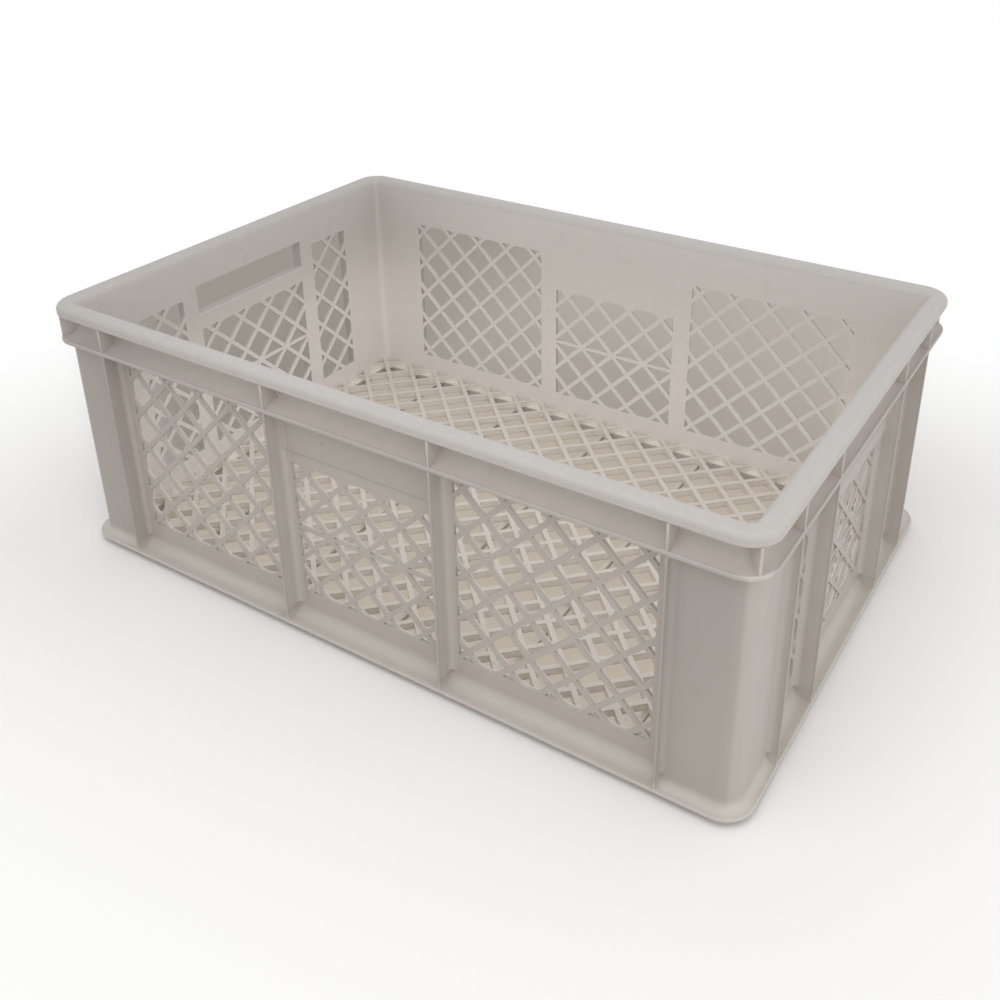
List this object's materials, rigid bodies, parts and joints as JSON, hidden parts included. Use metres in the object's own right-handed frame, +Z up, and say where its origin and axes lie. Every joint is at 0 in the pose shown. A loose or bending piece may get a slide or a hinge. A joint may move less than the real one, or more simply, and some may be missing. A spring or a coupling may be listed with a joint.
{
  "type": "stacking crate",
  "caption": "Open-topped moulded plastic stacking crate with diamond mesh walls and floor, ribbed rim channel, grip bands and a hand-hold slot in each end.",
  "frame": {"origin": "middle of the crate's footprint, on the ground under the stacking foot", "axes": "+X along the long sides, +Y from the front long side to the back one, +Z up"},
  "size_m": [0.6, 0.4, 0.22],
  "materials": {
    "moulded_wall": "satin, slightly translucent natural white",
    "moulded_floor": "satin, slightly yellowed natural white"
  },
  "bodies": {
    "root": {"base_skirt_back": "moulded_wall", "base_skirt_front": "moulded_wall", "base_skirt_left": "moulded_wall", "base_skirt_right": "moulded_wall", "corner_post_back_left": "moulded_wall", "corner_post_back_right": "moulded_wall", "corner_post_front_left": "moulded_wall", "corner_post_front_right": "moulded_wall", "floor_bar_1": "moulded_floor", "floor_bar_2": "moulded_floor", "floor_bar_3": "moulded_floor", "floor_bar_4": "moulded_floor", "floor_bar_5": "moulded_floor", "floor_mesh": "moulded_floor", "grip_band_back": "moulded_wall", "grip_band_front": "moulded_wall", "hand_hold_bar_left": "moulded_wall", "hand_hold_bar_right": "moulded_wall", "mesh_back_left": "moulded_wall", "mesh_back_middle": "moulded_wall", "mesh_back_right": "moulded_wall", "mesh_front_left": "moulded_wall", "mesh_front_middle": "moulded_wall", "mesh_front_right": "moulded_wall", "mesh_left_back": "moulded_wall", "mesh_left_front": "moulded_wall", "mesh_left_middle": "moulded_wall", "mesh_right_back": "moulded_wall", "mesh_right_front": "moulded_wall", "mesh_right_middle": "moulded_wall", "pillar_back_left": "moulded_wall", "pillar_back_right": "moulded_wall", "pillar_front_left": "moulded_wall", "pillar_front_right": "moulded_wall", "pillar_left_back": "moulded_wall", "pillar_left_front": "moulded_wall", "pillar_right_back": "moulded_wall", "pillar_right_front": "moulded_wall", "rim_bead_back": "moulded_wall", "rim_bead_front": "moulded_wall", "rim_bead_left": "moulded_wall", "rim_bead_right": "moulded_wall", "rim_channel_back": "moulded_wall", "rim_channel_front": "moulded_wall", "rim_channel_left": "moulded_wall", "rim_channel_right": "moulded_wall", "rim_corner_back_left": "moulded_wall", "rim_corner_back_right": "moulded_wall", "rim_corner_front_left": "moulded_wall", "rim_corner_front_right": "moulded_wall", "skirt_corner_back_left": "moulded_wall", "skirt_corner_back_right": "moulded_wall", "skirt_corner_front_left": "moulded_wall", "skirt_corner_front_right": "moulded_wall", "stacking_foot_back": "moulded_wall", "stacking_foot_front": "moulded_wall", "stacking_foot_left": "moulded_wall", "stacking_foot_right": "moulded_wall"}
  },
  "joints": []
}
